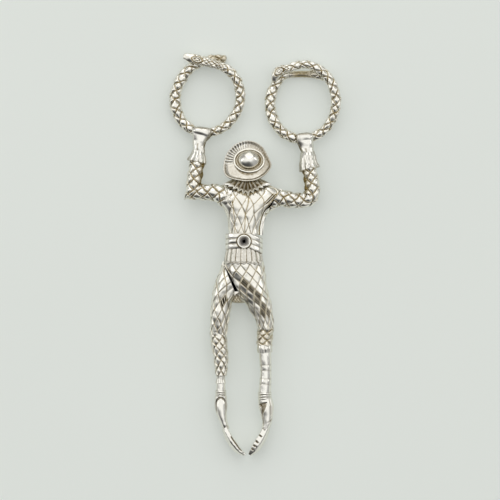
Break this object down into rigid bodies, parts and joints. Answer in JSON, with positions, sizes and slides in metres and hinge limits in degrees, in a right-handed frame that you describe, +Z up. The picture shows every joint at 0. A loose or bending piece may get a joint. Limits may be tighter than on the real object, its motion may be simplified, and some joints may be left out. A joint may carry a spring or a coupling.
{
  "type": "sugar tongs",
  "caption": "Cast silver scissor-action sugar tongs shaped as a costumed figure holding serpent finger rings, riveted at the belt, with cupped feet as jaws.",
  "frame": {"origin": "on the pivot axis at the flat end of the rivet, in the plane the tongs lie on", "axes": "+Y along the tongs towards the finger rings, +Z up out of the plane they lie on along the pivot, +X to the right seen from above"},
  "size_m": [0.0529, 0.1263, 0.01],
  "materials": {
    "engraved_silver": "satin",
    "polished_silver": "polished",
    "tarnished_silver": "satin"
  },
  "bodies": {
    "upper_half": {"upper_jacket": "engraved_silver", "upper_belt": "polished_silver", "upper_skirt": "polished_silver", "upper_seat": "engraved_silver", "head": "polished_silver", "hat_brim": "polished_silver", "hat_band": "engraved_silver", "hat_crown": "polished_silver", "ruff_collar": "polished_silver", "left_upper_sleeve": "engraved_silver", "left_lower_sleeve": "engraved_silver", "left_cuff": "polished_silver", "left_hand": "polished_silver", "left_serpent_body": "engraved_silver", "left_serpent_head": "engraved_silver", "right_thigh": "engraved_silver", "right_calf": "engraved_silver", "right_hem": "polished_silver", "right_stocking": "polished_silver", "right_boot_top": "polished_silver", "right_boot": "polished_silver", "right_jaw": "polished_silver", "pivot_rivet": "tarnished_silver", "pivot_collet": "polished_silver", "pivot_washer": "polished_silver"},
    "lower_half": {"lower_jacket": "engraved_silver", "lower_belt": "polished_silver", "lower_skirt": "polished_silver", "lower_seat": "engraved_silver", "right_upper_sleeve": "engraved_silver", "right_lower_sleeve": "engraved_silver", "right_cuff": "polished_silver", "right_hand": "polished_silver", "right_serpent_body": "engraved_silver", "right_serpent_head": "engraved_silver", "left_thigh": "engraved_silver", "left_calf": "engraved_silver", "left_hem": "polished_silver", "left_stocking": "polished_silver", "left_boot_top": "polished_silver", "left_boot": "polished_silver", "left_jaw": "polished_silver"}
  },
  "joints": [
    {"name": "belt_pivot", "type": "hinge", "parent": "upper_half", "child": "lower_half", "pos_m": [0, 0, 0.005], "axis": [0, 0, -1], "range_deg": [0, 35]}
  ]
}
